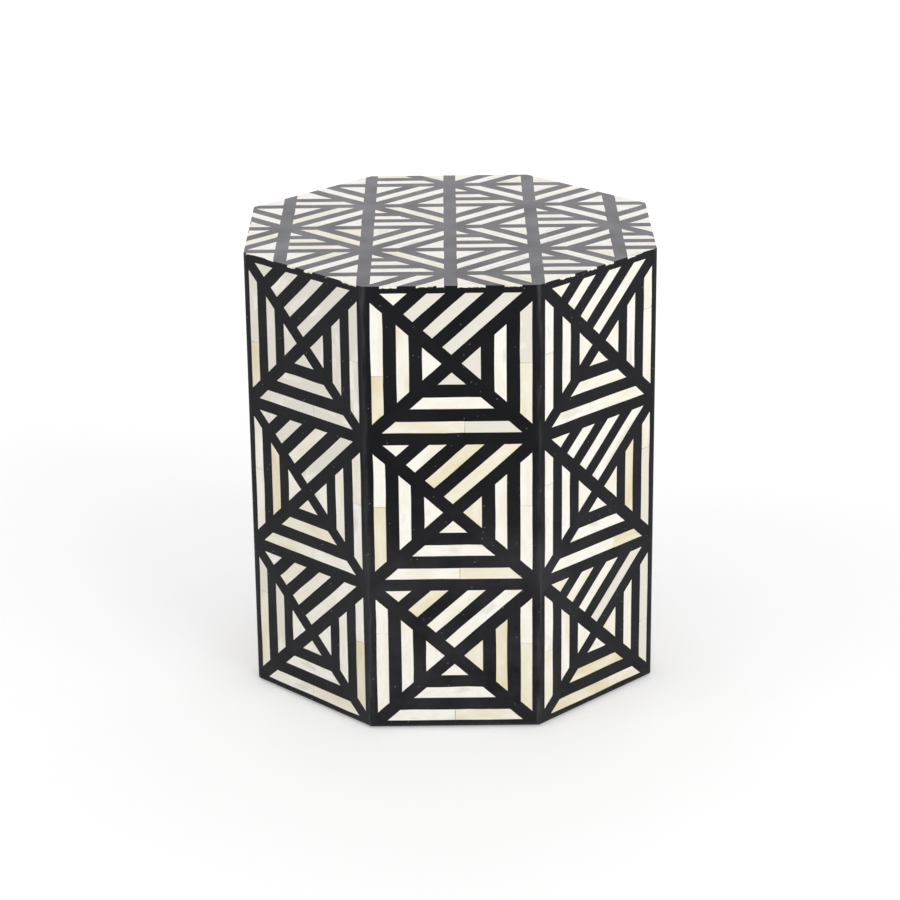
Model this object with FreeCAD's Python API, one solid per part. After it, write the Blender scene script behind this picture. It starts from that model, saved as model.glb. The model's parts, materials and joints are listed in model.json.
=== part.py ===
import FreeCAD, Part
import math
import os

# Octagonal side table: a carcass of mitred boards under a skin of bone slips set in black resin.
# Millimetres, +Z up, origin on the floor under the middle, one flat side to the front at -Y.

V = FreeCAD.Vector

# Finished body
ACROSS_FLATS = 400.0
BODY_HEIGHT = 452.0
ARRIS_RADIUS = 2.5
FOOT_RADIUS = 2.0
TOP_EASING = 0.6

# Skin: bone slips on a bed of resin, with resin between them
BONE_THICKNESS = 2.0
BED_THICKNESS = 0.5

# Carcass boards
STAVE_THICKNESS = 12.0
TOP_BOARD_THICKNESS = 12.0
BASE_BOARD_THICKNESS = 9.0
REBATE_WIDTH = 6.0

# Loose tongues in the mitres; the setback runs along the mitre from its inner corner
TONGUE_THICKNESS = 3.0
TONGUE_WIDTH = 11.0
TONGUE_SETBACK = 5.0
GROOVE_SLACK = 0.4

# Corner glue blocks, three-sided in plan
BLOCK_LEG = 36.0
BLOCK_HEIGHT = 25.0

# Countersunk wood screws with a cross recess
SCREW_HEAD_DIAMETER = 8.0
SCREW_SHANK_DIAMETER = 4.0
SCREW_POINT_LENGTH = 4.0
TOP_SCREW_BITE = 9.0
BASE_SCREW_BITE = 18.0
RECESS_LENGTH = 4.4
RECESS_WIDTH = 0.9
RECESS_DEPTH = 1.2

# Felt pads under the base board
PAD_COUNT = 4
PAD_DIAMETER = 22.0
PAD_THICKNESS = 2.0
PAD_INSET = 12.0

# Bone strips are sawn to one width for the whole table, and slips of a smaller area are left out
STRIP_WIDTH = 11.2
STRIP_COUNT = 2
SMALLEST_SLIP = 10.0

# Inlay of the sides
SIDE_STRIP_GAP = 12.9
TILE_COUNT = 3
TILE_GAP = 12.2
TILE_BAND = 13.0
CORNER_MARGIN = 7.2
UPPER_MARGIN = 7.1
LOWER_MARGIN = 7.1
SLANT_COUNT = 3
SEAM_STEP = 6.0

# Inlay of the top: whole cells each way, and a cut-off cell along each edge of the table
TOP_STRIP_GAP = 12.2
CELL_COUNT = 4
SIDE_CELL = 36.6
FRONT_CELL = 40.4
BACK_CELL = 39.0
LONG_BAND = 12.8
CROSS_BAND = 12.5
RISING_BAND = 12.5
FALLING_BAND = 12.8

SIDE_NAMES = ["front", "front_right", "right", "back_right", "back", "back_left", "left", "front_left"]
TURN = 360.0 / len(SIDE_NAMES)
OVERCUT = 1.0

SKIN = BONE_THICKNESS + BED_THICKNESS
TABLE_TOP = PAD_THICKNESS + BODY_HEIGHT
CARCASS_TOP = TABLE_TOP - SKIN
TOP_BOARD_UNDERSIDE = CARCASS_TOP - TOP_BOARD_THICKNESS
BASE_BOARD_TOP = PAD_THICKNESS + BASE_BOARD_THICKNESS
CARCASS_FLATS = ACROSS_FLATS - 2 * SKIN
INNER_FLATS = CARCASS_FLATS - 2 * STAVE_THICKNESS
BOARD_FLATS = INNER_FLATS + 2 * REBATE_WIDTH
SCREW_HEAD_HEIGHT = (SCREW_HEAD_DIAMETER - SCREW_SHANK_DIAMETER) / 2
CELL_WIDTH = (ACROSS_FLATS - 2 * SIDE_CELL) / CELL_COUNT
CELL_DEPTH = (ACROSS_FLATS - FRONT_CELL - BACK_CELL) / CELL_COUNT


# Helpers

def polar(radius, degrees):
    """Point at a radius and an angle around the table's axis, counted from the front towards the right."""
    angle = math.radians(degrees)
    return V(radius * math.sin(angle), -radius * math.cos(angle), 0)


def corner(flats, index):
    """Corner of the octagon with these flats, number 0 between the front and front right sides."""
    return polar(flats / 2 / math.cos(math.radians(TURN / 2)), TURN / 2 + index * TURN)


def half_side(flats):
    """Half the length of one side of the octagon with these flats."""
    return flats / 2 * math.tan(math.radians(TURN / 2))


def turned(shape, steps):
    """Copy of a shape turned around the table's axis by whole sides."""
    copy = shape.copy()
    copy.rotate(V(0, 0, 0), V(0, 0, 1), steps * TURN)
    return copy


def around(shape):
    """A shape and its copies, one for each side or corner."""
    return [turned(shape, step) for step in range(len(SIDE_NAMES))]


def prism(points, direction):
    """Solid swept from a flat polygon along a direction."""
    return Part.Face(Part.makePolygon(points + points[:1])).extrude(direction)


def octagon_board(flats, underside, thickness):
    """Eight-sided board."""
    rise = V(0, 0, underside)
    return prism([corner(flats, index) + rise for index in range(len(SIDE_NAMES))], V(0, 0, thickness))


def arris_points(index):
    """Rounded corner of the skin: its two tangent points, the middle and the two points between."""
    centre = corner(ACROSS_FLATS - 2 * ARRIS_RADIUS, index)
    middle = TURN / 2 + index * TURN
    return [centre + polar(ARRIS_RADIUS, middle + share * TURN / 4) for share in (-2, -1, 0, 1, 2)]


def clip(polygon, normal, least):
    """Part of a convex polygon where normal . point is at least the given value."""
    kept = []
    for here, there in zip(polygon, polygon[1:] + polygon[:1]):
        here_over = here.dot(normal) - least
        there_over = there.dot(normal) - least
        if here_over >= 0:
            kept.append(here)
        if here_over * there_over < 0:
            kept.append(here + (there - here) * (here_over / (here_over - there_over)))
    return kept


def worth_cutting(polygon):
    """Whether a flat polygon in the XY plane has the area of a slip."""
    pairs = zip(polygon, polygon[1:] + polygon[:1])
    return abs(sum(a.x * b.y - a.y * b.x for a, b in pairs)) / 2 > SMALLEST_SLIP


def strips(region, normal, start, count, gap):
    """Strips of bone across a region from the line normal . point = start on, and the rest after them."""
    pitch = STRIP_WIDTH + gap
    lines = [start + index * pitch for index in range(count)]
    cut = [clip(clip(region, normal, line), -normal, -line - STRIP_WIDTH) for line in lines]
    return cut + [clip(region, normal, start + count * pitch)]


# Inlay patterns, drawn flat

def tile_slips(width, height):
    """Slips of one side tile around its middle: three mitred quarters, and slanting bars in the top one.

    Gives the outer strips, which are each made of two lengths, and then the others.
    """
    outline = [V(-width, -height), V(width, -height), V(width, height), V(-width, height)]
    outline = [point * 0.5 for point in outline]
    over_rising = V(-height, width).normalize()
    over_falling = V(height, width).normalize()
    half_band = TILE_BAND / 2

    def quarter(first, second):
        return clip(clip(outline, first, half_band), second, half_band)

    gap = SIDE_STRIP_GAP
    left = strips(quarter(over_rising, -over_falling), V(1, 0), -width / 2, STRIP_COUNT, gap)
    right = strips(quarter(-over_rising, over_falling), V(-1, 0), -width / 2, STRIP_COUNT, gap)
    lower = strips(quarter(-over_rising, -over_falling), V(0, 1), -height / 2, STRIP_COUNT, gap)
    upper = strips(quarter(over_rising, over_falling), over_rising, half_band, SLANT_COUNT, gap)
    outer = [left[0], right[0], lower[0]]
    others = left[1:] + right[1:] + lower[1:] + upper
    return outer, [slip for slip in others if worth_cutting(slip)]


def two_lengths(strip, offset):
    """A long strip cut square across near its middle."""
    along = V(0, 1)
    if max(p.x for p in strip) - min(p.x for p in strip) > max(p.y for p in strip) - min(p.y for p in strip):
        along = V(1, 0)
    reach = [point.dot(along) for point in strip]
    seam = (min(reach) + max(reach)) / 2 + offset
    return [clip(strip, -along, -seam), clip(strip, along, seam)]


def side_pattern(side):
    """Pockets and slips of one side, x across it from its middle and y up from the body's underside."""
    width = 2 * (half_side(ACROSS_FLATS) - CORNER_MARGIN)
    clear = BODY_HEIGHT - LOWER_MARGIN - UPPER_MARGIN
    height = (clear - (TILE_COUNT - 1) * TILE_GAP) / TILE_COUNT
    pockets = []
    slips = []
    for row in range(TILE_COUNT):
        middle = V(0, LOWER_MARGIN + height / 2 + row * (height + TILE_GAP))
        outer, others = tile_slips(width, height)
        for number, strip in enumerate(outer):
            stagger = (3 * side + 4 * row + 5 * number + 2 * row * number + 6) % 7 - 2
            slips += [[point + middle for point in half] for half in two_lengths(strip, stagger * SEAM_STEP)]
        slips += [[point + middle for point in slip] for slip in others]
        pockets += [[point + middle for point in slip] for slip in outer + others]
    return pockets, slips


def cell_slips(column, row):
    """Slips of one top cell: bars and corner triangles along its diagonal, or level strips under it."""
    left = -ACROSS_FLATS / 2 + SIDE_CELL + column * CELL_WIDTH
    front = -ACROSS_FLATS / 2 + FRONT_CELL + row * CELL_DEPTH
    low = V(left + LONG_BAND / 2, front + CROSS_BAND / 2)
    high = V(left + CELL_WIDTH - LONG_BAND / 2, front + CELL_DEPTH - CROSS_BAND / 2)
    outline = [low, V(high.x, low.y), high, V(low.x, high.y)]
    gap = TOP_STRIP_GAP
    if (column + row) % 2 == 0:
        over = V(-CELL_DEPTH, CELL_WIDTH).normalize()
        line = over.dot(V(left, front))
        half_band = RISING_BAND / 2
        under_strips = strips(clip(outline, -over, half_band - line), -over, half_band - line, 1, gap)
    else:
        over = V(CELL_DEPTH, CELL_WIDTH).normalize()
        line = over.dot(V(left + CELL_WIDTH, front))
        half_band = FALLING_BAND / 2
        under_strips = strips(clip(outline, -over, half_band - line), V(0, 1), low.y, STRIP_COUNT, gap)
    over_strips = strips(clip(outline, over, line + half_band), over, line + half_band, 1, gap)
    return under_strips + over_strips


def top_pattern(reach):
    """Slips of the top, cut off where they run past the octagon's flats by more than the reach."""
    slips = []
    for column in range(-1, CELL_COUNT + 1):
        for row in range(-1, CELL_COUNT + 1):
            slips += cell_slips(column, row)
    for index in range(len(SIDE_NAMES)):
        flat_way = polar(1, index * TURN)
        arris_way = polar(1, TURN / 2 + index * TURN)
        arris_line = arris_points(index)[0].dot(arris_way)
        slips = [clip(slip, -flat_way, -ACROSS_FLATS / 2 - reach) for slip in slips]
        slips = [clip(slip, -arris_way, -arris_line) for slip in slips]
    return slips


# Carcass

def screw(length):
    """Wood screw pointing up from its head, and the same body before the cross recess is cut."""
    head = SCREW_HEAD_DIAMETER / 2
    shank = SCREW_SHANK_DIAMETER / 2
    outline = [V(0, 0, 0), V(head, 0, 0), V(shank, 0, SCREW_HEAD_HEIGHT)]
    outline += [V(shank, 0, length - SCREW_POINT_LENGTH), V(0, 0, length)]
    body = Part.Face(Part.makePolygon(outline + outline[:1])).revolve(V(0, 0, 0), V(0, 0, 1), 360)
    slot = Part.makeBox(RECESS_LENGTH, RECESS_WIDTH, RECESS_DEPTH + OVERCUT)
    slot.translate(V(-RECESS_LENGTH / 2, -RECESS_WIDTH / 2, -OVERCUT))
    cross = slot.copy()
    cross.rotate(V(0, 0, 0), V(0, 0, 1), 90)
    return body.cut(slot.fuse(cross)), body


def placed(shape, spot, height):
    """Copy of a shape at a spot in plan and a height."""
    copy = shape.copy()
    copy.translate(V(spot.x, spot.y, height))
    return copy


inner_corner = corner(INNER_FLATS, 0)
radial_way = polar(1, TURN / 2)
tangent_way = V(0, 0, 1).cross(radial_way)

top_blank = octagon_board(BOARD_FLATS, TOP_BOARD_UNDERSIDE, TOP_BOARD_THICKNESS)
base_blank = octagon_board(BOARD_FLATS, PAD_THICKNESS, BASE_BOARD_THICKNESS)


def tongue_bar(width):
    """Bar across the front right mitre, from the base board up to the top board."""
    centre = inner_corner + radial_way * TONGUE_SETBACK + V(0, 0, BASE_BOARD_TOP)
    half_width = tangent_way * (width / 2)
    half_depth = radial_way * (TONGUE_THICKNESS / 2)
    ends = [(-1, -1), (1, -1), (1, 1), (-1, 1)]
    points = [centre + half_width * a + half_depth * b for a, b in ends]
    return prism(points, V(0, 0, TOP_BOARD_UNDERSIDE - BASE_BOARD_TOP))


tongue = tongue_bar(TONGUE_WIDTH)
groove = tongue_bar(TONGUE_WIDTH + 2 * GROOVE_SLACK)

stave_plan = [corner(CARCASS_FLATS, -1), corner(CARCASS_FLATS, 0)]
stave_plan += [corner(INNER_FLATS, 0), corner(INNER_FLATS, -1)]
stave_plan = [point + V(0, 0, PAD_THICKNESS) for point in stave_plan]
stave = prism(stave_plan, V(0, 0, CARCASS_TOP - PAD_THICKNESS))
stave = stave.cut(Part.makeCompound([top_blank, base_blank, groove, turned(groove, -1)]))

# Each block lies against two staves, and its screw stands midway between the corner and the free face
block_sides = [(corner(INNER_FLATS, way) - inner_corner).normalize() for way in (1, -1)]
block_plan = [inner_corner] + [inner_corner + way * BLOCK_LEG for way in block_sides]
block_depth = BLOCK_LEG * math.sin(math.radians(TURN / 2))
screw_spot = inner_corner - radial_way * (block_depth / 2)
upper_block_underside = TOP_BOARD_UNDERSIDE - BLOCK_HEIGHT

top_screw, top_screw_bore = screw(BLOCK_HEIGHT + TOP_SCREW_BITE)
base_screw, base_screw_bore = screw(BASE_BOARD_THICKNESS + BASE_SCREW_BITE)
top_screw = placed(top_screw, screw_spot, upper_block_underside)
top_screw_bore = placed(top_screw_bore, screw_spot, upper_block_underside)
base_screw = placed(base_screw, screw_spot, PAD_THICKNESS)
base_screw_bore = placed(base_screw_bore, screw_spot, PAD_THICKNESS)

upper_block = prism([point + V(0, 0, upper_block_underside) for point in block_plan], V(0, 0, BLOCK_HEIGHT))
lower_block = prism([point + V(0, 0, BASE_BOARD_TOP) for point in block_plan], V(0, 0, BLOCK_HEIGHT))
upper_block = upper_block.cut(top_screw_bore)
lower_block = lower_block.cut(base_screw_bore)

pad_radius = BOARD_FLATS / 2 - PAD_INSET - PAD_DIAMETER / 2
pad_spots = [polar(pad_radius, TURN + index * 360 / PAD_COUNT) for index in range(PAD_COUNT)]
pads = [Part.makeCylinder(PAD_DIAMETER / 2, PAD_THICKNESS, spot) for spot in pad_spots]


# Skin of the sides

def side_skin():
    """Blank of the front resin panel, mitred at its ends, with rounded corners and a rounded foot."""
    from_left = arris_points(-1)
    to_right = arris_points(0)
    inner = [corner(CARCASS_FLATS, -1), corner(CARCASS_FLATS, 0)]
    edges = [
        Part.makeLine(inner[0], from_left[2]),
        Part.Arc(from_left[2], from_left[3], from_left[4]).toShape(),
        Part.makeLine(from_left[4], to_right[0]),
        Part.Arc(to_right[0], to_right[1], to_right[2]).toShape(),
        Part.makeLine(to_right[2], inner[1]),
        Part.makeLine(inner[1], inner[0]),
    ]
    plan = Part.Face(Part.Wire(edges))
    plan.translate(V(0, 0, PAD_THICKNESS))
    blank = plan.extrude(V(0, 0, CARCASS_TOP - PAD_THICKNESS))
    outside = -CARCASS_FLATS / 2 - SKIN / 2
    low = [edge for edge in blank.Edges if edge.BoundBox.ZMax < PAD_THICKNESS + SKIN / 2]
    foot = [edge for edge in low if edge.BoundBox.YMax < outside]
    return blank.makeFillet(min(FOOT_RADIUS, 0.9 * SKIN), foot)


def on_side(polygon, outward):
    """Polygon of a side pattern stood up on the front side, a given distance outside it."""
    return [V(point.x, -ACROSS_FLATS / 2 - outward, PAD_THICKNESS + point.y) for point in polygon]


panel_blank = side_skin()
panel_pockets = [prism(on_side(p, OVERCUT), V(0, BONE_THICKNESS + OVERCUT, 0)) for p in side_pattern(0)[0]]
panel = panel_blank.cut(Part.makeCompound(panel_pockets))


def side_slips(side):
    """Bone slips of one side, each its own solid."""
    slips = [prism(on_side(slip, 0), V(0, BONE_THICKNESS, 0)) for slip in side_pattern(side)[1]]
    return turned(Part.makeCompound(slips), side)


# Skin of the top

def top_skin():
    """Blank of the top skin, with the corners rounded as on the sides and the upper edge eased."""
    edges = []
    for index in range(len(SIDE_NAMES)):
        here = arris_points(index)
        edges.append(Part.Arc(here[0], here[2], here[4]).toShape())
        edges.append(Part.makeLine(here[4], arris_points(index + 1)[0]))
    plan = Part.Face(Part.Wire(edges))
    plan.translate(V(0, 0, CARCASS_TOP))
    blank = plan.extrude(V(0, 0, SKIN))
    rim = [edge for edge in blank.Edges if edge.BoundBox.ZMin > TABLE_TOP - SKIN / 2]
    return blank.makeChamfer(TOP_EASING, rim)


def over_edge(polygon):
    """Whether a slip of the top reaches the table's edge."""
    ways = [polar(1, index * TURN) for index in range(len(SIDE_NAMES))]
    return any(point.dot(way) > ACROSS_FLATS / 2 - TOP_EASING for point in polygon for way in ways)


top_blank_skin = top_skin()
slip_floor = V(0, 0, TABLE_TOP - BONE_THICKNESS)
top_slips = []
top_pockets = []
for flush, proud in zip(top_pattern(0), top_pattern(OVERCUT)):
    if worth_cutting(flush):
        slip = prism([point + slip_floor for point in flush], V(0, 0, BONE_THICKNESS))
        if over_edge(flush):
            slip = slip.common(top_blank_skin).Solids[0]
        top_slips.append(slip)
        top_pockets.append(prism([point + slip_floor for point in proud], V(0, 0, BONE_THICKNESS + OVERCUT)))
top_resin = top_blank_skin.cut(Part.makeCompound(top_pockets))


# Export, one file for each named piece or group of like pieces

nodes = {
    "top_board": top_blank.cut(Part.makeCompound(around(top_screw_bore))),
    "base_board": base_blank.cut(Part.makeCompound(around(base_screw_bore))),
    "mitre_tongues": Part.makeCompound(around(tongue)),
    "upper_glue_blocks": Part.makeCompound(around(upper_block)),
    "lower_glue_blocks": Part.makeCompound(around(lower_block)),
    "top_screws": Part.makeCompound(around(top_screw)),
    "base_screws": Part.makeCompound(around(base_screw)),
    "felt_pads": Part.makeCompound(pads),
    "resin_top": top_resin,
    "bone_inlay_top": Part.makeCompound(top_slips),
}
for number, name in enumerate(SIDE_NAMES):
    nodes["stave_" + name] = turned(stave, number)
    nodes["resin_panel_" + name] = turned(panel, number)
    nodes["bone_inlay_" + name] = side_slips(number)

os.makedirs("parts", exist_ok=True)
for name, shape in nodes.items():
    shape.exportStep("parts/" + name + ".step")
    print(name, len(shape.Solids), "solids", "valid" if shape.isValid() else "not valid")
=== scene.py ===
import json
import math

import bpy
import numpy as np
from mathutils import Matrix, Vector


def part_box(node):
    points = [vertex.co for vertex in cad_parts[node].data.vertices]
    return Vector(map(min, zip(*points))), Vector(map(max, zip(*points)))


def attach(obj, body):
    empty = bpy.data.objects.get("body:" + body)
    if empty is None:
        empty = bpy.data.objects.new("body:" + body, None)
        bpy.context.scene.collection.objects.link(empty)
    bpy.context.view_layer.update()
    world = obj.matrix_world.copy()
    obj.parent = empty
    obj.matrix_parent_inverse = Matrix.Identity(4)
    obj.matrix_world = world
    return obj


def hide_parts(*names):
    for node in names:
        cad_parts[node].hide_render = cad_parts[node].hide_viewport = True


# Octagonal side table with bone slips set in black resin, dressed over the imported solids.
# Patterns are drafted in millimetres and put into the meshes in metres.

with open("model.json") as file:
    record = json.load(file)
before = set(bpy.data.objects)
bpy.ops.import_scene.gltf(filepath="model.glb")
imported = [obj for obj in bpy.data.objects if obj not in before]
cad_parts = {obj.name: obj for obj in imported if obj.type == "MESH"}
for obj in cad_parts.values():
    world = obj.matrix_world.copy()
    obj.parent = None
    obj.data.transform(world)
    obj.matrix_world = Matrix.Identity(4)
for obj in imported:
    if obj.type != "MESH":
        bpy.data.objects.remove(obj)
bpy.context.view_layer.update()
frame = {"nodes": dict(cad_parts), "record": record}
rng = np.random.default_rng(7)

MM = 0.001
SIDE_NAMES = ["front", "front_right", "right", "back_right", "back", "back_left", "left", "front_left"]
SIDES = len(SIDE_NAMES)
TURN = 2 * math.pi / SIDES

# Sizes read from the solids
top_low, top_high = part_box("resin_top")
panel_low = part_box("resin_panel_front")[0]
ACROSS_FLATS = (top_high[0] - top_low[0]) / MM
TABLE_TOP = top_high[2] / MM
UNDERSIDE = panel_low[2] / MM
BODY_HEIGHT = TABLE_TOP - UNDERSIDE
SIDE_LENGTH = ACROSS_FLATS * math.tan(TURN / 2)
CORNER_REACH = ACROSS_FLATS / 2 / math.cos(TURN / 2)

# Inlay, the same sizes as in the solids
STRIP_WIDTH = 11.2
SIDE_STRIP_GAP = 12.9
TOP_STRIP_GAP = 12.2
SIDE_PITCH = STRIP_WIDTH + SIDE_STRIP_GAP
TOP_PITCH = STRIP_WIDTH + TOP_STRIP_GAP
STRIP_COUNT = 2
SLANT_COUNT = 3
TILE_COUNT = 3
TILE_GAP = 12.2
TILE_BAND = 13.0
CORNER_MARGIN = 7.2
UPPER_MARGIN = 7.1
LOWER_MARGIN = 7.1
SEAM_STEP = 6.0
CELL_COUNT = 4
SIDE_CELL = 36.6
FRONT_CELL = 40.4
BACK_CELL = 39.0
LONG_BAND = 12.8
CROSS_BAND = 12.5
RISING_BAND = 12.5
FALLING_BAND = 12.8
ARRIS_RADIUS = 2.5
TOP_EASING = 0.6

# Hand sawing: a slip comes from anywhere in the stock and fills its pocket, its cuts stray, and a rim slip
# under the least area isn't cut
BONE_THICKNESS = 1.98
BONE_STOCK = 900.0
FULL_CUT = 0.10
CUT_STRAY = 0.15
SEAM_GAP = 0.30
SMALLEST_TOP_SLIP = 60.0
SAME_POINT = 1e-6

# Edges of the slips: wander and ripple between the corners, chips on the table's rim, worn upper edges
EDGE_STEPS = 4
EDGE_WANDER = 0.22
EDGE_RIPPLE = 0.6
LONG_EDGE = 40.0
AT_RIM = 0.05
RIM_PROUD = 0.03
RIM_CHIP = 1.6
CHIP_RARITY = 5
PROUD = 0.05
WORN_EDGE = 0.16
WORN_DROP = 0.6 * WORN_EDGE

# Haze and wear of the resin, with painted reflection and highlight, where they start and where they are
# full:
# height above the floor, depth behind the front, and distances from the corner, the top, the foot and the
# foot's edge
PAINTED_REFLECTION_STARTS, PAINTED_REFLECTION_FULL = 260.0, 170.0
FRONT_STARTS, FRONT_FULL = 35.0, 3.0
CORNER_STARTS, CORNER_FULL = 1.5, 0.3
UPPER_STARTS, UPPER_FULL = 60.0, 5.0
LOWER_STARTS, LOWER_FULL = 160.0, 10.0
FOOT_STARTS, FOOT_FULL = 3.5, 1.0
# Haze everywhere, then a painted reflection of the floor added on the lower half, and more on the front's
# lower half
HAZE, LOW_PAINTED_REFLECTION, LOW_FRONT_PAINTED_REFLECTION = 0.10, 0.095, 0.165

# Black paint under the boards: full up to the first height above the underside, none from the second on
PAINT_FULL, PAINT_ENDS = 0.2, 0.5

# Slips of one tile in the order of drafting
SLIP_NAMES = [
    "left_low", "left_high", "left_second", "left_point",
    "right_low", "right_high", "right_second", "right_point",
    "base_left", "base_right", "base_second", "base_point",
    "bar_long", "bar_middle", "bar_short", "bar_point",
]

# Tones of the bone from grey over white to straw yellow; plain slips spread upwards from the least tone
GREY, PALE_GREY, WHITE, CREAM, STRAW = -0.15, -0.03, 0.22, 0.56, 0.75
LEAST_TONE = 0.15
SIDE_SPREAD, SIDE_LEAN = 0.38, (0.9, 1.4)
TOP_SPREAD, TOP_LEAN = 0.32, (1.2, 3.0)
UNSEEN_STRAW = 0.12
TOP_CREAM = 0.14

# Slips that stand out on the seen sides, by side and tile; a later tone goes over an earlier one
LOW, MIDDLE, HIGH = range(TILE_COUNT)
STANDING_OUT = {
    ("front", HIGH): {
        STRAW: ["left_low"],
        CREAM: ["right_low", "base_left"],
        GREY: [
            "bar_long", "bar_middle", "bar_short",
            "right_high", "right_point", "base_right", "base_point",
        ],
    },
    ("front", MIDDLE): {
        STRAW: ["bar_middle", "left_low"],
        CREAM: ["right_point", "bar_long", "base_right"],
    },
    ("front", LOW): {
        STRAW: ["bar_short", "right_second"],
        CREAM: ["base_right", "right_point", "right_low"],
        WHITE: ["base_left", "left_high"],
    },
    ("front_right", HIGH): {WHITE: ["bar_long", "bar_middle", "bar_short"]},
    ("front_right", MIDDLE): {
        STRAW: ["base_right", "right_second"],
        CREAM: ["right_high"],
        WHITE: ["left_second", "base_left"],
        GREY: ["right_low"],
    },
    ("front_right", LOW): {
        STRAW: ["base_left", "base_second"],
        GREY: ["bar_long", "right_low", "right_high"],
    },
    # Painted shade: every slip of the upper tile on the front left is pale grey, so that side is darker
    # towards its top
    ("front_left", HIGH): {PALE_GREY: SLIP_NAMES, STRAW: ["left_low"]},
    ("front_left", MIDDLE): {
        STRAW: ["left_second"],
        CREAM: ["base_left", "base_second"],
        PALE_GREY: ["bar_long", "bar_point"],
        GREY: ["bar_short"],
    },
    ("front_left", LOW): {
        STRAW: ["right_low"],
        CREAM: ["left_low"],
        WHITE: ["left_point", "right_second"],
        PALE_GREY: ["left_high", "left_second"],
    },
}


# Drafting of the slips

def saw(outlines, normal, least):
    """Keeps the side of each convex outline where normal . point >= least.

    Every edge gives its first corner if that lies on the kept side, and the point where it meets the cut
    if it crosses it. Outlines with fewer corners repeat their last one.
    """
    ahead = np.roll(outlines, -1, axis=1)
    over = (outlines * normal[:, None]).sum(-1) - least[:, None]
    inside = over >= 0
    over_ahead = np.roll(over, -1, axis=1)
    crosses = inside != (over_ahead >= 0)
    share = over / np.where(crosses, over - over_ahead, 1.0)
    meeting = outlines + np.where(crosses, share, 0.0)[..., None] * (ahead - outlines)
    count = len(outlines)
    points = np.stack([outlines, meeting], axis=2).reshape(count, -1, 2)
    kept = np.stack([inside, crosses], axis=2).reshape(count, -1)
    order = np.argsort(~kept, axis=1, kind="stable")[:, :max(3, kept.sum(1).max())]
    points = np.take_along_axis(points, order[..., None], axis=1)
    kept = np.take_along_axis(kept, order, axis=1)
    last = np.maximum(kept.sum(1) - 1, 0)
    return np.where(kept[..., None], points, points[np.arange(count), last][:, None])


def sawn(cuts):
    """Outlines left of a large sheet after each slip's own row of cuts (normal x, normal y, least)."""
    sheet = ACROSS_FLATS * np.array([[-1.0, -1.0], [1.0, -1.0], [1.0, 1.0], [-1.0, 1.0]])
    outlines = np.repeat(sheet[None], len(cuts), axis=0)
    for one_each in np.moveaxis(cuts, 1, 0):
        outlines = saw(outlines, one_each[:, :2], one_each[:, 2])
    return outlines


def area(outlines):
    """Shoelace area of each outline."""
    x, y = outlines[..., 0], outlines[..., 1]
    return 0.5 * (x * np.roll(y, -1, axis=1) - y * np.roll(x, -1, axis=1)).sum(1)


def strayed(cuts):
    """Cuts moved outwards to fill the pocket and a little at random, as hand sawing leaves them."""
    moved = cuts.copy()
    used = np.abs(cuts[..., :2]).sum(-1) > 0
    moved[..., 2] -= np.where(used, FULL_CUT + CUT_STRAY * rng.uniform(-1, 1, used.shape), 0.0)
    return moved


def cut(normal, least):
    """One saw cut as a row of numbers."""
    return (normal[0], normal[1], least)


NO_CUT = cut((0.0, 0.0), -1.0)
RIGHT = np.array([1.0, 0.0])
UP = np.array([0.0, 1.0])


def strip_cuts(inward, start, count, pitch):
    """Pairs of cuts for strips from a line inwards, and for the rest behind the last gap."""
    lines = [start + number * pitch for number in range(count)]
    pairs = [[cut(inward, line), cut(-inward, -line - STRIP_WIDTH)] for line in lines]
    return pairs + [[cut(inward, start + count * pitch), NO_CUT]]


def draft_tile(width, height):
    """Cuts, quarter with half, and grain of the slips of one side tile around its middle.

    Two diagonal bands divide the tile. The left, right and lower quarters hold strips parallel to the tile's
    edge and a last triangle; the upper quarter holds bars along the rising diagonal and a small triangle.
    The outermost strips are two lengths, each a half with its own seam.
    """
    long = math.hypot(width, height)
    rising = np.array([-height, width]) / long
    falling = np.array([height, width]) / long
    band = TILE_BAND / 2
    edges = [cut(RIGHT, -width / 2), cut(-RIGHT, -width / 2), cut(UP, -height / 2), cut(-UP, -height / 2)]
    quarters = [
        (rising, -falling, RIGHT, -width / 2, STRIP_COUNT, UP),
        (-rising, falling, -RIGHT, -width / 2, STRIP_COUNT, UP),
        (-rising, -falling, UP, -height / 2, STRIP_COUNT, RIGHT),
        (rising, falling, rising, band, SLANT_COUNT, np.array([width, height]) / long),
    ]
    cuts, halves, grain = [], [], []
    for quarter, (first, second, inward, start, count, along) in enumerate(quarters):
        for number, pair in enumerate(strip_cuts(inward, start, count, SIDE_PITCH)):
            two_lengths = number == 0 and count == STRIP_COUNT
            for half in (-1, 1) if two_lengths else (0,):
                cuts.append(edges + [cut(first, band), cut(second, band)] + pair)
                halves.append((quarter, half))
                grain.append(along)
    return np.array(cuts), np.array(halves), np.array(grain)


def draft_sides():
    """Outlines of all side slips, x across and y up from the underside, with grain, side, row and number."""
    width = SIDE_LENGTH - 2 * CORNER_MARGIN
    height = (BODY_HEIGHT - LOWER_MARGIN - UPPER_MARGIN - (TILE_COUNT - 1) * TILE_GAP) / TILE_COUNT
    tile, halves, grain = draft_tile(width, height)
    places = np.meshgrid(np.arange(SIDES), np.arange(TILE_COUNT), np.arange(len(tile)), indexing="ij")
    side, row, slip = [place.ravel() for place in places]
    quarter, half = halves[slip].T
    # Seams lie in one of seven places near the middle of the strip, by the same rule as in the solids
    stagger = (3 * side + 4 * row + 5 * quarter + 2 * row * quarter + 6) % 7 - 2
    seam_least = np.where(half == 0, -1.0, half * stagger * SEAM_STEP + SEAM_GAP / 2)
    seam = np.column_stack([grain[slip] * half[:, None], seam_least])
    outlines = sawn(np.concatenate([strayed(tile[slip]), seam[:, None]], axis=1))
    outlines[..., 1] += (LOWER_MARGIN + height / 2 + row * (height + TILE_GAP))[:, None]
    return outlines, grain[slip], side, row, slip


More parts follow.
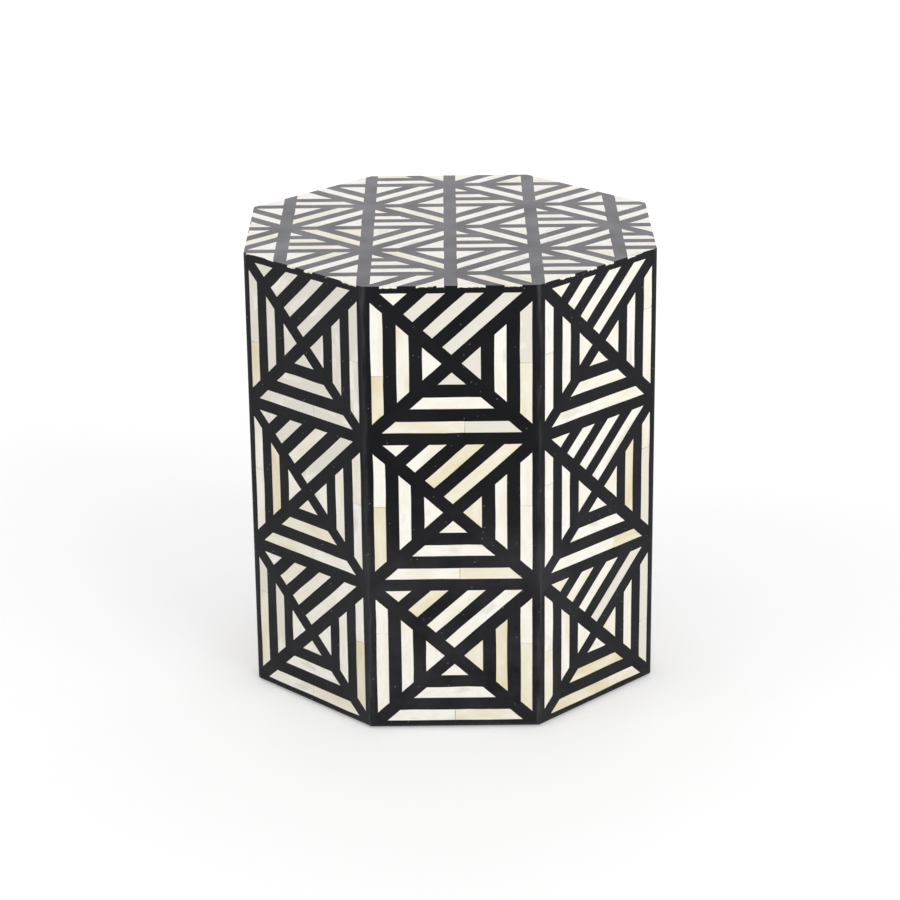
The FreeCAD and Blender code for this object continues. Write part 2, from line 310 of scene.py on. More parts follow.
def draft_cell(column, row, width, depth):
    """Cuts, grain and half of the slips of one top cell, beside its rising or its falling diagonal."""
    left = -ACROSS_FLATS / 2 + SIDE_CELL + column * width
    near = -ACROSS_FLATS / 2 + FRONT_CELL + row * depth
    low = near + CROSS_BAND / 2
    edges = [cut(RIGHT, left + LONG_BAND / 2), cut(-RIGHT, -left - width + LONG_BAND / 2)]
    edges += [cut(UP, low), cut(-UP, -near - depth + CROSS_BAND / 2)]
    rises = (column + row) % 2 == 0
    over = np.array([-depth if rises else depth, width]) / math.hypot(width, depth)
    line = over @ np.array([left if rises else left + width, near])
    band = (RISING_BAND if rises else FALLING_BAND) / 2
    along = np.array([over[1], -over[0]])
    halves = [(over, line + band, over, line + band, 1, along)]
    if rises:
        halves.append((-over, band - line, -over, band - line, 1, along))
    else:
        halves.append((-over, band - line, UP, low, STRIP_COUNT, RIGHT))
    cuts, grain, parts = [], [], []
    for part, (beside, beside_least, inward, start, count, way) in enumerate(halves):
        for pair in strip_cuts(inward, start, count, TOP_PITCH):
            cuts.append(edges + [cut(beside, beside_least)] + pair)
            grain.append(way)
            parts.append(part)
    return cuts, grain, parts


def draft_top():
    """Outlines and grain of the top slips, cut off by the octagon's flats and the chords of its corners.

    A slip that the rim leaves too small is dropped, and the next one in its half of the cell takes its
    place: the first and the last kept slip of each half have no cut on their outer side.
    """
    width = (ACROSS_FLATS - 2 * SIDE_CELL) / CELL_COUNT
    depth = (ACROSS_FLATS - FRONT_CELL - BACK_CELL) / CELL_COUNT
    steps = range(-1, CELL_COUNT + 1)
    drafts = [draft_cell(column, row, width, depth) for column in steps for row in steps]
    cuts = np.array([row for draft in drafts for row in draft[0]])
    grain = np.array([way for draft in drafts for way in draft[1]])
    half = np.array([(cell, part) for cell, draft in enumerate(drafts) for part in draft[2]])
    turns = np.arange(2 * SIDES)
    half_turn = TURN / 2
    chord = (ACROSS_FLATS / 2 - ARRIS_RADIUS) / math.cos(half_turn) + ARRIS_RADIUS * math.cos(half_turn)
    reach = np.where(turns % 2 == 0, ACROSS_FLATS / 2, chord)
    rim = np.column_stack([-np.sin(turns * half_turn), np.cos(turns * half_turn), -reach])[None]
    regular = sawn(np.concatenate([cuts, np.repeat(rim, len(cuts), axis=0)], axis=1))
    kept = area(regular) > SMALLEST_TOP_SLIP
    cuts, grain, half = cuts[kept], grain[kept], half[kept]
    other_half = (half[1:] != half[:-1]).any(-1)
    cuts[np.append(True, other_half), -2] = NO_CUT
    cuts[np.append(other_half, True), -1] = NO_CUT
    cuts = np.concatenate([strayed(cuts), np.repeat(rim, len(cuts), axis=0)], axis=1)
    return sawn(cuts), grain


# Slips as meshes

RIM_WAYS = np.stack([np.sin(np.arange(SIDES) * TURN), -np.cos(np.arange(SIDES) * TURN)])


def slip_rings(corners, is_top):
    """Rings of slips with the same number of corners, from the foot over the shoulder to the crown.

    Each edge is divided evenly and bows along its normal by a half sine and a ripple, which are zero at the
    corners. Edges on the table's rim are chipped inwards instead. The crown ring is moved inwards along the
    outline's normal by the worn edge. On the top, the crown is drawn in behind the rim's easing.
    Gives plan points and heights.
    """
    count, number = corners.shape[:2]
    edge = np.roll(corners, -1, axis=1) - corners
    length = np.linalg.norm(edge, axis=-1, keepdims=True)
    outward = np.stack([edge[..., 1], -edge[..., 0]], axis=-1) / length
    t = np.arange(EDGE_STEPS) / EDGE_STEPS
    bow = rng.normal(0, 1, (count, number, 1)) * np.sin(math.pi * t)
    ripple = rng.normal(0, EDGE_RIPPLE, (count, number, 1)) * np.sin(2 * math.pi * t)
    sway = (bow + ripple) * EDGE_WANDER * np.minimum(1, length / LONG_EDGE)
    if is_top:
        at_rim = corners @ RIM_WAYS > ACROSS_FLATS / 2 - AT_RIM
        rim_edge = (at_rim & np.roll(at_rim, -1, axis=1)).any(-1)[..., None]
        chips = RIM_CHIP * rng.uniform(0, 1, sway.shape) ** CHIP_RARITY * (t > 0)
        sway = np.where(rim_edge, RIM_PROUD - chips, sway)
    points = corners[:, :, None] + edge[:, :, None] * t[:, None] + outward[:, :, None] * sway[..., None]
    outline = points.reshape(count, number * EDGE_STEPS, 2)
    step = np.roll(outline, -1, axis=1) - np.roll(outline, 1, axis=1)
    facing = np.stack([step[..., 1], -step[..., 0]], axis=-1) / np.linalg.norm(step, axis=-1, keepdims=True)
    plan = np.stack([outline, outline, outline - facing * WORN_EDGE], axis=1)
    levels = np.array([-BONE_THICKNESS, PROUD - WORN_DROP, PROUD])
    heights = np.repeat(np.repeat(levels[None, :, None], count, axis=0), plan.shape[2], axis=2)
    if is_top:
        beyond = plan @ RIM_WAYS - (ACROSS_FLATS / 2 - TOP_EASING)
        heights[:, 1] = np.where(beyond[:, 1].max(-1) > TOP_EASING - AT_RIM, -TOP_EASING, heights[:, 1])
        plan[:, 2] -= np.maximum(beyond[:, 2], 0) @ RIM_WAYS.T
    return plan, heights


def put(name, data):
    """New object at the origin, in the scene."""
    thing = bpy.data.objects.new(name, data)
    bpy.context.scene.collection.objects.link(thing)
    return thing


def slip_piece(name, outlines, grain, tone, place, is_top):
    """One object of many slips.

    Rings of plan points stand at their heights, are joined by quads and closed by a crown and a foot face.
    The grain map runs along each slip in millimetres from a random start. Each slip has one tone.
    """
    distinct = np.linalg.norm(np.roll(outlines, -1, axis=1) - outlines, axis=-1) > SAME_POINT
    corner_count = distinct.sum(1)
    vertices, faces, grain_map, tones = [], [], [], []
    base = 0
    for number in np.unique(corner_count):
        chosen = np.flatnonzero(corner_count == number)
        order = np.argsort(~distinct[chosen], axis=1, kind="stable")[:, :number]
        corners = np.take_along_axis(outlines[chosen], order[..., None], axis=1)
        plan, heights = slip_rings(corners, is_top)
        count, rings, around = heights.shape
        vertices.append(place(plan[..., 0], plan[..., 1], heights).reshape(-1, 3))
        way = grain[chosen][:, None, None]
        along = (plan * way).sum(-1)
        across = plan[..., 1] * way[..., 0] - plan[..., 0] * way[..., 1]
        start = rng.uniform(0, BONE_STOCK, (count, 1, 1, 2))
        grain_map.append((np.stack([along, across], axis=-1) + start).reshape(-1, 2))
        tones.append(np.repeat(tone[chosen], rings * around))
        index = base + np.arange(heights.size).reshape(heights.shape)
        turned = np.roll(index, -1, axis=2)
        quads = np.stack([index[:, :-1], turned[:, :-1], turned[:, 1:], index[:, 1:]], axis=-1)
        faces += quads.reshape(-1, 4).tolist() + index[:, -1].tolist() + index[:, 0, ::-1].tolist()
        base += index.size
    mesh = bpy.data.meshes.new(name)
    mesh.from_pydata((np.concatenate(vertices) * MM).tolist(), [], faces)
    corner_vertex = np.empty(len(mesh.loops), dtype=np.int32)
    mesh.loops.foreach_get("vertex_index", corner_vertex)
    grain_layer = mesh.uv_layers.new(name="grain")
    grain_layer.data.foreach_set("uv", np.concatenate(grain_map)[corner_vertex].astype(np.float32).ravel())
    tone_layer = mesh.attributes.new("tone", "FLOAT", "POINT")
    tone_layer.data.foreach_set("value", np.concatenate(tones).astype(np.float32))
    return put(name, mesh)


def on_side(side):
    """Placing on one side: x across, y up and height outwards on the front, then turned about the axis."""
    angle = side * TURN

    def place(x, y, height):
        depth = -ACROSS_FLATS / 2 - height
        turned_x = x * math.cos(angle) - depth * math.sin(angle)
        turned_y = x * math.sin(angle) + depth * math.cos(angle)
        return np.stack([turned_x, turned_y, UNDERSIDE + y], axis=-1)

    return place


def on_top(x, y, height):
    """Placing on the top: plan as drafted, height upwards."""
    return np.stack([x, y, TABLE_TOP + height], axis=-1)


# Materials

def linear(code):
    """sRGB hex colour to linear light."""
    value = np.array([int(code[place:place + 2], 16) for place in (1, 3, 5)]) / 255
    light = np.where(value <= 0.04045, value / 12.92, ((value + 0.055) / 1.055) ** 2.4)
    return (*light.tolist(), 1.0)


def add(tree, kind, inputs=None, **settings):
    """Adds a shader node, sets its properties, and sets or links its inputs.

    Inputs that share a name with others go by number: MapRange takes a value, the range it comes from and
    the range it goes to in 0 to 4, and Mix a factor in 0 and its two colours in 6 and 7, mixed in output 2.
    """
    node = tree.nodes.new("ShaderNode" + kind)
    for name, value in settings.items():
        setattr(node, name, value)
    for name, value in (inputs or {}).items():
        if isinstance(value, bpy.types.NodeSocket):
            tree.links.new(value, node.inputs[name])
        else:
            node.inputs[name].default_value = value
    return node


def new_material(name):
    """Empty node material, and its tree."""
    material = bpy.data.materials.new(name)
    material.use_nodes = True
    material.node_tree.nodes.clear()
    return material, material.node_tree


def in_millimetres(tree):
    """Place on the table in millimetres."""
    place = add(tree, "TexCoord").outputs["Object"]
    return add(tree, "Mapping", {"Vector": place, "Scale": (1 / MM, 1 / MM, 1 / MM)}).outputs[0]


def sprinkled(tree, place, scale, core, rim, share):
    """Marks in a share of a pattern's cells: 1 within the core of the cell's point, 0 from the rim on."""
    cells = add(tree, "TexVoronoi", {"Vector": place, "Scale": scale})
    mark = add(tree, "MapRange", {0: cells.outputs["Distance"], 1: core, 2: rim, 3: 1.0, 4: 0.0}).outputs[0]
    pick = add(tree, "SeparateColor", {0: cells.outputs["Color"]}).outputs[0]
    pick = add(tree, "Math", {0: pick, 1: 1 - share}, operation="GREATER_THAN").outputs[0]
    return add(tree, "Math", {0: mark, 1: pick}, operation="MULTIPLY").outputs[0]


def rim_smear(tree):
    """Resin on the sawn ends at the top's rim: 0 on clean bone, 1 below a ragged line 0.6 to 2 mm down."""
    in_mm = in_millimetres(tree)
    height = add(tree, "SeparateXYZ", {0: in_mm}).outputs[2]
    depth = add(tree, "Math", {0: TABLE_TOP, 1: height}, operation="SUBTRACT").outputs[0]
    ragged = add(tree, "TexNoise", {"Vector": in_mm, "Scale": 1 / 5, "Detail": 3.0}).outputs["Fac"]
    line = add(tree, "MapRange", {0: ragged, 1: 0.35, 2: 0.65, 3: 0.6, 4: 2.0}).outputs[0]
    below = add(tree, "Math", {0: depth, 1: line}, operation="SUBTRACT").outputs[0]
    smear = add(tree, "MapRange", {0: below, 1: 0.0, 2: 0.6, 3: 0.0, 4: 1.0}).outputs[0]
    at_end = add(tree, "Math", {0: depth, 1: UPPER_MARGIN / 2}, operation="LESS_THAN").outputs[0]
    return add(tree, "Math", {0: smear, 1: at_end}, operation="MULTIPLY").outputs[0]


def polished_bone():
    """Bone, sawn, glued down and polished: ivory white, cloudy, faint grain, some slips straw yellow."""
    material, tree = new_material("polished_bone")
    grain = add(tree, "UVMap", uv_map="grain").outputs[0]
    tone = add(tree, "Attribute", attribute_name="tone").outputs["Fac"]
    # Clouds about 34 mm long and 12 mm wide shift the colour inside one slip
    cloud_map = add(tree, "Mapping", {"Vector": grain, "Scale": (1 / 34, 1 / 12, 1)}).outputs[0]
    cloud = add(tree, "TexNoise", {"Vector": cloud_map, "Scale": 1.0, "Detail": 3.0}).outputs["Fac"]
    shift = add(tree, "MapRange", {0: cloud, 1: 0.25, 2: 0.75, 3: -0.28, 4: 0.28}).outputs[0]
    shade = add(tree, "Math", {0: tone, 1: shift}, operation="ADD").outputs[0]
    body = add(tree, "ValToRGB", {0: shade})
    ramp = body.color_ramp.elements
    ramp[0].color = linear("#E5E1D4")
    ramp[1].color = linear("#E2D3AA")
    for position, code in ((0.16, "#FBF9F1"), (0.42, "#F4EFDF"), (0.68, "#EDE4C8")):
        stop = ramp.new(position)
        stop.color = linear(code)
    # Grain lines about 0.9 mm apart and 25 mm long, drawn coarser than the real 0.3 mm so that they show
    line_map = add(tree, "Mapping", {"Vector": grain, "Scale": (1 / 25, 1 / 0.9, 1)}).outputs[0]
    lines = add(tree, "TexNoise", {"Vector": line_map, "Scale": 1.0, "Detail": 2.0}).outputs["Fac"]
    streak = add(tree, "MapRange", {0: lines, 1: 0.42, 2: 0.80, 3: 0.0, 4: 0.35}).outputs[0]
    streaked = add(tree, "Mix", {0: streak, 6: body.outputs[0], 7: linear("#E4DCC6")}, data_type="RGBA")
    # Pores are short dashes in a quarter of the cells of 6 mm by 1.6 mm
    pore_map = add(tree, "Mapping", {"Vector": grain, "Scale": (1 / 6, 1 / 1.6, 1)}).outputs[0]
    pores = sprinkled(tree, pore_map, scale=1.0, core=0.08, rim=0.20, share=0.25)
    pored = add(tree, "Math", {0: pores, 1: 0.22}, operation="MULTIPLY").outputs[0]
    colour = add(tree, "Mix", {0: pored, 6: streaked.outputs[2], 7: linear("#96876A")}, data_type="RGBA")
    # The sawn ends at the top's rim are smeared with resin, brown along the smear's edge
    smear = rim_smear(tree)
    stain = add(tree, "Mix", {0: smear, 6: linear("#6E4A30"), 7: linear("#08080C")}, data_type="RGBA")
    colour = add(tree, "Mix", {0: smear, 6: colour.outputs[2], 7: stain.outputs[2]}, data_type="RGBA")
    rough = add(tree, "MapRange", {0: lines, 1: 0.3, 2: 0.8, 3: 0.34, 4: 0.48}).outputs[0]
    relief = add(tree, "Math", {0: pores, 1: -0.6, 2: lines}, operation="MULTIPLY_ADD").outputs[0]
    bump = add(tree, "Bump", {"Height": relief, "Strength": 0.25, "Distance": 0.05 * MM})
    shader = add(tree, "BsdfPrincipled", {
        "Base Color": colour.outputs[2], "Roughness": rough, "Normal": bump.outputs[0], "IOR": 1.54,
    })
    add(tree, "OutputMaterial", {"Surface": shader.outputs[0]})
    return material


def haze_and_painted_reflection(tree, haze, axes):
    """Strength of the haze, with a painted reflection of the floor added on the lower half and most on the
    front's.
    """
    low = add(tree, "MapRange", {0: axes[2], 1: PAINTED_REFLECTION_STARTS, 2: PAINTED_REFLECTION_FULL, 3: 0.0, 4: 1.0}).outputs[0]
    front_face = -ACROSS_FLATS / 2
    front = add(tree, "MapRange", {
        0: axes[1], 1: front_face + FRONT_STARTS, 2: front_face + FRONT_FULL, 3: 0.0, 4: 1.0,
    }).outputs[0]
    low_front = add(tree, "Math", {0: low, 1: front}, operation="MULTIPLY").outputs[0]
    amount = add(tree, "Math", {0: low, 1: LOW_PAINTED_REFLECTION, 2: HAZE}, operation="MULTIPLY_ADD").outputs[0]
    amount = add(tree, "Math", {
        0: low_front, 1: LOW_FRONT_PAINTED_REFLECTION, 2: amount,
    }, operation="MULTIPLY_ADD").outputs[0]
    clouds = add(tree, "MapRange", {0: haze, 1: 0.34, 2: 0.66, 3: 0.4, 4: 1.6}).outputs[0]
    return add(tree, "Math", {0: clouds, 1: amount}, operation="MULTIPLY").outputs[0]


def rubbed_and_highlit_edges(tree, in_mm, axes):
    """Rubbing on the upright corners, where it also stands as a painted highlight, most of it near the top
    and the foot, and on the foot's edge.

    The corners are the places farthest from the axis. Streaks of 4 mm by 33 mm make the rubbing uneven.
    """
    level_place = add(tree, "VectorMath", {0: in_mm, 1: (1, 1, 0)}, operation="MULTIPLY").outputs[0]
    reach = add(tree, "VectorMath", {0: level_place}, operation="LENGTH").outputs["Value"]
    # Near the corners the pale rubbing is partly wear and partly a painted highlight on the rounded corners
    to_corner = add(tree, "MapRange", {
        0: reach, 1: CORNER_REACH - CORNER_STARTS, 2: CORNER_REACH - CORNER_FULL, 3: 0.0, 4: 1.0,
    }).outputs[0]
    near_top = add(tree, "MapRange", {
        0: axes[2], 1: TABLE_TOP - UPPER_STARTS, 2: TABLE_TOP - UPPER_FULL, 3: 0.5, 4: 1.0,
    }).outputs[0]
    near_foot = add(tree, "MapRange", {
        0: axes[2], 1: UNDERSIDE + LOWER_STARTS, 2: UNDERSIDE + LOWER_FULL, 3: 0.5, 4: 1.0,
    }).outputs[0]
    handled = add(tree, "Math", {0: near_top, 1: near_foot}, operation="MAXIMUM").outputs[0]
    to_corner = add(tree, "Math", {0: to_corner, 1: handled}, operation="MULTIPLY").outputs[0]
    to_foot = add(tree, "MapRange", {
        0: axes[2], 1: UNDERSIDE + FOOT_STARTS, 2: UNDERSIDE + FOOT_FULL, 3: 0.0, 4: 1.0,
    }).outputs[0]
    edges = add(tree, "Math", {0: to_corner, 1: to_foot}, operation="MAXIMUM").outputs[0]
    streak_map = add(tree, "Mapping", {"Vector": in_mm, "Scale": (1, 1, 0.12)}).outputs[0]
    streaks = add(tree, "TexNoise", {"Vector": streak_map, "Scale": 1 / 4, "Detail": 4.0}).outputs["Fac"]
    rubbing = add(tree, "MapRange", {0: streaks, 1: 0.38, 2: 0.72, 3: 0.0, 4: 0.40}).outputs[0]
    return add(tree, "Math", {0: edges, 1: rubbing}, operation="MULTIPLY").outputs[0]


def black_resin():
    """Black polyester resin, poured and sanded: soft gloss, haze, painted floor reflection low down, scuffs,
    pinholes, rubbing and a painted highlight on the corners.
    """
    material, tree = new_material("black_polyester_resin")
    in_mm = in_millimetres(tree)
    axes = add(tree, "SeparateXYZ", {0: in_mm}).outputs
    # Sanding haze in patches of about 45 mm, and a grit of 2 mm, drawn coarser than real so that it shows
    haze = add(tree, "TexNoise", {
        "Vector": in_mm, "Scale": 1 / 45, "Detail": 6.0, "Roughness": 0.6,
    }).outputs["Fac"]
    grit = add(tree, "TexNoise", {"Vector": in_mm, "Scale": 1 / 2.0, "Detail": 2.0}).outputs["Fac"]
    # The haze lightens the resin, and low down, most on the front, a painted reflection of the floor
    # lightens it too
    haze_and_reflection = haze_and_painted_reflection(tree, haze, axes)
    clean = add(tree, "Mix", {0: haze_and_reflection, 6: linear("#020308"), 7: linear("#3A393C")}, data_type="RGBA")
    # Scuffs are rare smears of about 10 mm
    smear_map = add(tree, "Mapping", {"Vector": in_mm, "Rotation": (0.4, 0.9, 0.3), "Scale": (1, 1, 0.35)})
    smear = add(tree, "TexNoise", {
        "Vector": smear_map.outputs[0], "Scale": 1 / 7, "Detail": 6.0, "Roughness": 0.65,
    }).outputs["Fac"]
    scuffs = add(tree, "MapRange", {0: smear, 1: 0.67, 2: 0.80, 3: 0.0, 4: 0.5}).outputs[0]
    # Rubbing on the corners, partly a painted highlight, and the scuffs take the same pale grey
    rubbed_and_highlit = rubbed_and_highlit_edges(tree, in_mm, axes)
    marks = add(tree, "Math", {0: rubbed_and_highlit, 1: scuffs}, operation="MAXIMUM").outputs[0]
    marked = add(tree, "Mix", {0: marks, 6: clean.outputs[2], 7: linear("#6A6A6E")}, data_type="RGBA")
    # Pale specks up to 1 mm across where pinholes have caught polish, in a few of the cells of 6 mm
    specks = sprinkled(tree, in_mm, scale=1 / 6, core=0.05, rim=0.10, share=0.14)
    # Scratches are slanting hairlines about 7 mm long in a quarter of the cells of 4 mm by 40 mm
    hair_map = add(tree, "Mapping", {
        "Vector": in_mm, "Rotation": (0.5, 0.8, 0.2), "Scale": (4, 4, 40),
    }, vector_type="TEXTURE").outputs[0]
    scratches = sprinkled(tree, hair_map, scale=1.0, core=0.05, rim=0.09, share=0.25)
    pale = add(tree, "Math", {0: specks, 1: scratches}, operation="MAXIMUM").outputs[0]
    pale = add(tree, "Math", {0: pale, 1: 0.6}, operation="MULTIPLY").outputs[0]
    colour = add(tree, "Mix", {0: pale, 6: marked.outputs[2], 7: linear("#A9A49A")}, data_type="RGBA")
    rough = add(tree, "MapRange", {0: haze, 1: 0.3, 2: 0.75, 3: 0.24, 4: 0.36}).outputs[0]
    rough = add(tree, "Math", {0: grit, 1: 0.10, 2: rough}, operation="MULTIPLY_ADD").outputs[0]
    waves = add(tree, "Math", {0: haze, 1: 6.0, 2: grit}, operation="MULTIPLY_ADD").outputs[0]
    bump = add(tree, "Bump", {"Height": waves, "Strength": 0.35, "Distance": 0.04 * MM})
    shader = add(tree, "BsdfPrincipled", {
        "Base Color": colour.outputs[2], "Roughness": rough, "Normal": bump.outputs[0],
        "IOR": 1.5, "Specular IOR Level": 0.12,
    })
    add(tree, "OutputMaterial", {"Surface": shader.outputs[0]})
    return material


def fibreboard():
    """Medium density fibreboard: warm brown felted fibres, blackened with paint on the underside."""
    material, tree = new_material("fibreboard")
    in_mm = in_millimetres(tree)
    fibres = add(tree, "TexNoise", {"Vector": in_mm, "Scale": 1 / 1.2, "Detail": 6.0}).outputs["Fac"]
    blotch = add(tree, "TexNoise", {"Vector": in_mm, "Scale": 1 / 60, "Detail": 2.0}).outputs["Fac"]
    mixed = add(tree, "Math", {0: fibres, 1: 0.6, 2: blotch}, operation="MULTIPLY_ADD").outputs[0]
    brown = add(tree, "MapRange", {0: mixed, 1: 0.55, 2: 1.05, 3: 0.0, 4: 1.0}).outputs[0]
    board = add(tree, "Mix", {0: brown, 6: linear("#8F6E48"), 7: linear("#B8966A")}, data_type="RGBA")
    height = add(tree, "SeparateXYZ", {0: in_mm}).outputs[2]
    under = add(tree, "MapRange", {
        0: height, 1: UNDERSIDE + PAINT_FULL, 2: UNDERSIDE + PAINT_ENDS, 3: 1.0, 4: 0.0,
    }).outputs[0]
    paint = add(tree, "Mix", {0: blotch, 6: linear("#1A1A1B"), 7: linear("#2A2A2A")}, data_type="RGBA")
    colour = add(tree, "Mix", {0: under, 6: board.outputs[2], 7: paint.outputs[2]}, data_type="RGBA")
    bump = add(tree, "Bump", {"Height": fibres, "Strength": 0.4, "Distance": 0.1 * MM})
    shader = add(tree, "BsdfPrincipled", {
        "Base Color": colour.outputs[2], "Roughness": 0.78, "Normal": bump.outputs[0],
    })
    add(tree, "OutputMaterial", {"Surface": shader.outputs[0]})
    return material


def sawn_pine():
    """Pine battens, sawn: pale straw with darker growth rings, 5 mm wide and 90 mm long, along the grain."""
    material, tree = new_material("sawn_pine")
    place = add(tree, "TexCoord").outputs["Object"]
    ring_map = add(tree, "Mapping", {"Vector": place, "Scale": (1000 / 5, 1000 / 5, 1000 / 90)}).outputs[0]
    rings = add(tree, "TexNoise", {"Vector": ring_map, "Scale": 1.0, "Detail": 4.0}).outputs["Fac"]
    band = add(tree, "MapRange", {0: rings, 1: 0.38, 2: 0.66, 3: 0.0, 4: 1.0}).outputs[0]
    colour = add(tree, "Mix", {0: band, 6: linear("#D9B981"), 7: linear("#B98B52")}, data_type="RGBA")
    bump = add(tree, "Bump", {"Height": rings, "Strength": 0.3, "Distance": 0.15 * MM})
    shader = add(tree, "BsdfPrincipled", {
        "Base Color": colour.outputs[2], "Roughness": 0.65, "Normal": bump.outputs[0],
    })
    add(tree, "OutputMaterial", {"Surface": shader.outputs[0]})
    return material


def zinc_plate():
    """Steel screws, zinc plated: bright cool grey with faint tumbling marks of 0.8 mm."""
    material, tree = new_material("zinc_plated_steel")
    place = add(tree, "TexCoord").outputs["Object"]
    marks = add(tree, "TexNoise", {"Vector": place, "Scale": 1000 / 0.8, "Detail": 3.0}).outputs["Fac"]
    colour = add(tree, "Mix", {0: marks, 6: linear("#A9AAA8"), 7: linear("#C9CAC6")}, data_type="RGBA")
    rough = add(tree, "MapRange", {0: marks, 1: 0.3, 2: 0.7, 3: 0.28, 4: 0.45}).outputs[0]
    shader = add(tree, "BsdfPrincipled", {
        "Base Color": colour.outputs[2], "Roughness": rough, "Metallic": 1.0,
    })
    add(tree, "OutputMaterial", {"Surface": shader.outputs[0]})
    return material


def pressed_felt():
    """Pressed wool felt: dark, dull, with a short tangled pile of 0.7 mm."""
    material, tree = new_material("pressed_felt")
    place = add(tree, "TexCoord").outputs["Object"]
    pile = add(tree, "TexNoise", {
        "Vector": place, "Scale": 1000 / 0.7, "Detail": 5.0, "Distortion": 1.5,
    }).outputs["Fac"]
    colour = add(tree, "Mix", {0: pile, 6: linear("#26262A"), 7: linear("#4A4A4E")}, data_type="RGBA")
    bump = add(tree, "Bump", {"Height": pile, "Strength": 0.8, "Distance": 0.3 * MM})
    shader = add(tree, "BsdfPrincipled", {
        "Base Color": colour.outputs[2], "Roughness": 0.95, "Normal": bump.outputs[0], "Sheen Weight": 0.3,
    })
    add(tree, "OutputMaterial", {"Surface": shader.outputs[0]})
    return material


# Dressing

def dress(piece, material, node):
    """Gives a new piece its material and lets it stand for a node of bone."""
    piece.data.materials.append(material)
    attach(piece, "root")
    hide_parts(node)


def plain_tones(count, spread, lean):
    """Tones of plain slips, from the least one upwards by a spread, which leans by a beta distribution."""
    return LEAST_TONE + spread * rng.beta(*lean, count)


def side_tones(side, row, slip):
    """Tone of each side slip: plain, straw yellow at times on the unseen sides, or standing out."""
    tone = plain_tones(len(side), SIDE_SPREAD, SIDE_LEAN)
    seen = np.isin(side, [SIDE_NAMES.index(name) for name, tile_row in STANDING_OUT])
    straw = rng.uniform(0, 1, len(side)) < UNSEEN_STRAW
    tone = np.where(straw & ~seen, STRAW, tone)
    for (name, tile_row), tones in STANDING_OUT.items():
        tile = (side == SIDE_NAMES.index(name)) & (row == tile_row)
        for slip_tone, slip_names in tones.items():
            named = np.isin(slip, [SLIP_NAMES.index(slip_name) for slip_name in slip_names])
            tone[tile & named] = slip_tone
    return tone


def top_tones(count):
    """Tone of each top slip: plain, or cream at times."""
    tone = plain_tones(count, TOP_SPREAD, TOP_LEAN)
    return np.where(rng.uniform(0, 1, count) < TOP_CREAM, CREAM, tone)


finishes = {
    "bone": polished_bone(),
    "black_resin": black_resin(),
    "fibreboard": fibreboard(),
    "pine": sawn_pine(),
    "zinc_plated_steel": zinc_plate(),
    "felt": pressed_felt(),
}
for subpart in frame["record"]["subparts"]:
    solid = frame["nodes"][subpart["node"]]
    solid.data.materials.clear()
    solid.data.materials.append(finishes[subpart["material_slot"]])

outlines, grain, side, row, slip = draft_sides()
tone = side_tones(side, row, slip)
for number, name in enumerate(SIDE_NAMES):
    here = side == number
    place = on_side(number)
    slips = slip_piece("bone_slips_" + name, outlines[here], grain[here], tone[here], place, is_top=False)
    dress(slips, finishes["bone"], "bone_inlay_" + name)

outlines, grain = draft_top()
tone = top_tones(len(outlines))
slips = slip_piece("bone_slips_top", outlines, grain, tone, on_top, is_top=True)
dress(slips, finishes["bone"], "bone_inlay_top")


# Floor, light and camera, in metres

FLOOR_REACH = 15.0
FLOOR_NEAR, FLOOR_FAR = 0.5, 4.0
NEAR_LIFT, FAR_LIFT = 0.31, 0.54
WORLD_LIGHT = 0.60
TABLE_MIDDLE = Vector((0, 0, TABLE_TOP / 2 * MM))


def shown_as_is(tree):
    """1 for the rays that show a surface as it is: camera, glossy and transmission rays."""
    path = add(tree, "LightPath").outputs
    shows = add(tree, "Math", {0: path["Is Camera Ray"], 1: path["Is Glossy Ray"]}, operation="MAXIMUM")
    return add(tree, "Math", {
        0: shows.outputs[0], 1: path["Is Transmission Ray"],
    }, operation="MAXIMUM").outputs[0]


def white_studio_floor():
    """Matt white floor. The lamps stand close, so it is lifted more towards its far parts where it shows."""
    material, tree = new_material("white_studio_floor")
    matt = add(tree, "BsdfDiffuse", {"Color": linear("#F0F0F0")})
    place = add(tree, "TexCoord").outputs["Object"]
    away = add(tree, "VectorMath", {0: place}, operation="LENGTH").outputs["Value"]
    lift = add(tree, "MapRange", {
        0: away, 1: FLOOR_NEAR, 2: FLOOR_FAR, 3: NEAR_LIFT, 4: FAR_LIFT,
    }).outputs[0]
    lift = add(tree, "Math", {0: shown_as_is(tree), 1: lift}, operation="MULTIPLY").outputs[0]
    glow = add(tree, "Emission", {"Color": linear("#FFFFFF"), "Strength": lift})
    both = add(tree, "AddShader", {0: matt.outputs[0], 1: glow.outputs[0]})
    add(tree, "OutputMaterial", {"Surface": both.outputs[0]})
    return material


def studio_world():
    """Even white surround, white where it shows and dimmer as light."""
    world = bpy.data.worlds.new("studio")
    world.use_nodes = True
    tree = world.node_tree
    tree.nodes.clear()
    strength = add(tree, "MapRange", {
        0: shown_as_is(tree), 1: 0.0, 2: 1.0, 3: WORLD_LIGHT, 4: 1.0,
    }).outputs[0]
    sky = add(tree, "Background", {"Color": linear("#FFFFFF"), "Strength": strength})
    add(tree, "OutputWorld", {"Surface": sky.outputs[0]})
    return world


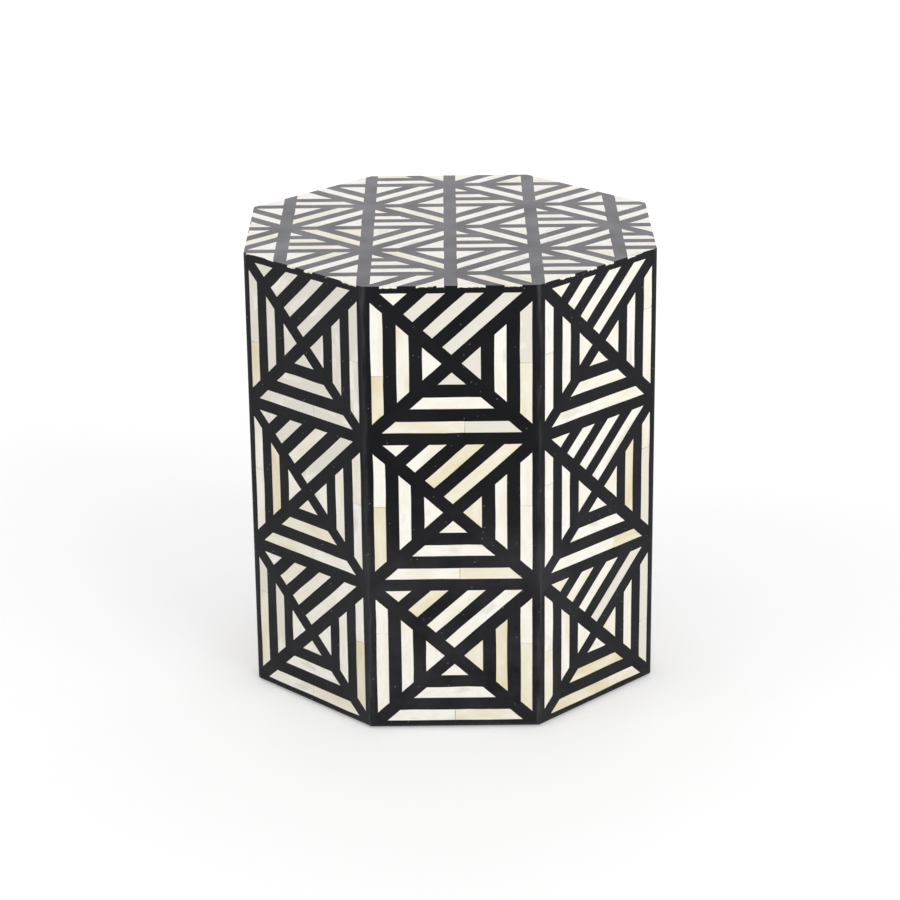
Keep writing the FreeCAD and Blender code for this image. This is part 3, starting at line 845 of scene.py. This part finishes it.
def softbox(name, azimuth, elevation, distance, width, height, brightness, code):
    """Area lamp facing the table's middle, with the brightness of its face.

    Azimuth is in degrees from the front towards the right, elevation in degrees above the middle.
    """
    lamp = bpy.data.lights.new(name, "AREA")
    lamp.color = linear(code)[:3]
    lamp.shape = "RECTANGLE"
    lamp.size = width
    lamp.size_y = height
    lamp.energy = brightness * math.pi * width * height
    holder = put(name, lamp)
    across, up = math.radians(azimuth), math.radians(elevation)
    way = Vector((math.sin(across) * math.cos(up), -math.cos(across) * math.cos(up), math.sin(up)))
    holder.location = TABLE_MIDDLE + way * distance
    holder.rotation_euler = (-way).to_track_quat("-Z", "Y").to_euler()
    return holder


floor_corners = FLOOR_REACH * np.array([[-1, -1, 0], [1, -1, 0], [1, 1, 0], [-1, 1, 0]])
floor_mesh = bpy.data.meshes.new("floor")
floor_mesh.from_pydata(floor_corners.tolist(), [], [(0, 1, 2, 3)])
floor_mesh.materials.append(white_studio_floor())
floor = put("floor", floor_mesh)

bpy.context.scene.world = studio_world()
key = softbox("key", 40, 14, distance=4.0, width=2.8, height=2.2, brightness=3.46, code="#FFFFFF")
fill = softbox("fill", -62, 13, distance=4.0, width=2.6, height=2.0, brightness=1.96, code="#FFFFFF")
softbox("back", 180, 22, distance=3.3, width=4.0, height=1.5, brightness=1.32, code="#F9F5FF")
# Only the back lamp shows in gloss, so that the polished top keeps its pattern from behind as well
key.visible_glossy = False
fill.visible_glossy = False

# Camera at the photo's viewing angle, fitted to the octagon's corners; lens and sensor in millimetres
LENS = 113.3
SENSOR = 36.0
DISTANCE = 2.897
PITCH = math.radians(20.36)
ROLL = math.radians(0.62)
AIM = Vector((-0.0023, 0, 0.2175))
camera_data = bpy.data.cameras.new("camera")
camera_data.sensor_width = SENSOR
camera_data.lens = LENS
camera = put("camera", camera_data)
camera.location = AIM + DISTANCE * Vector((0, -math.cos(PITCH), math.sin(PITCH)))
tilt = Matrix.Rotation(math.pi / 2 - PITCH, 3, "X") @ Matrix.Rotation(-ROLL, 3, "Z")
camera.rotation_euler = tilt.to_euler()
bpy.context.scene.camera = camera

bpy.context.scene.view_settings.view_transform = "Standard"
